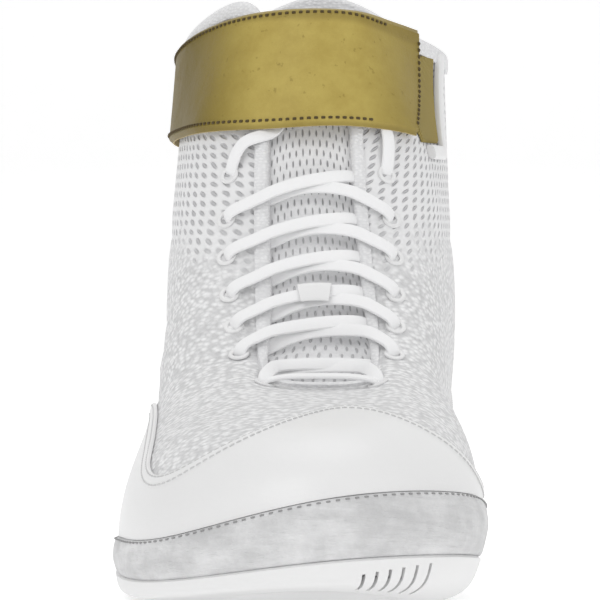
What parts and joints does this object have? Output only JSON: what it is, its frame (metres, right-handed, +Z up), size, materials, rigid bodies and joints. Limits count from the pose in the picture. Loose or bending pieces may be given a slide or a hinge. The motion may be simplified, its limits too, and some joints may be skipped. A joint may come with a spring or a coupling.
{
  "type": "wrestling shoe",
  "caption": "High-top wrestling shoe with a thin wrapped rubber sole, hollow mesh upper, leather toe overlay, flat laces and a gold strap round the ankle.",
  "frame": {"origin": "centre of the footprint's bounding box, on the floor under the sole", "axes": "+Y from toe to heel, +X towards the big toe's side, +Z up"},
  "size_m": [0.102, 0.2891, 0.1751],
  "materials": {
    "white_mesh": "matt knitted mesh",
    "white_leather": "satin smooth leather",
    "grey_white_suede": "matt suede",
    "pale_rubber": "satin moulded rubber",
    "white_lining": "matt lining fabric",
    "white_lace": "matt woven lace",
    "gold_leather": "satin gold leather",
    "gold_loop_fabric": "matt loop fabric"
  },
  "bodies": {
    "root": {"upper": "white_mesh", "outsole": "pale_rubber", "insole": "white_lining", "tongue": "white_mesh", "rand": "grey_white_suede", "toe_overlay": "white_leather", "heel_counter": "white_leather", "edge_binding": "white_leather", "lace_crossings": "white_lace", "lace_end_lateral": "white_lace", "lace_end_medial": "white_lace", "lace_keeper": "white_lace", "ankle_strap": "gold_leather", "strap_patch": "gold_loop_fabric", "patch_binding": "white_leather", "eyelet_lateral_1": "white_leather", "eyelet_lateral_2": "white_leather", "eyelet_lateral_3": "white_leather", "eyelet_lateral_4": "white_leather", "eyelet_lateral_5": "white_leather", "eyelet_lateral_6": "white_leather", "eyelet_lateral_7": "white_leather", "eyelet_medial_1": "white_leather", "eyelet_medial_2": "white_leather", "eyelet_medial_3": "white_leather", "eyelet_medial_4": "white_leather", "eyelet_medial_5": "white_leather", "eyelet_medial_6": "white_leather", "eyelet_medial_7": "white_leather"}
  },
  "joints": []
}
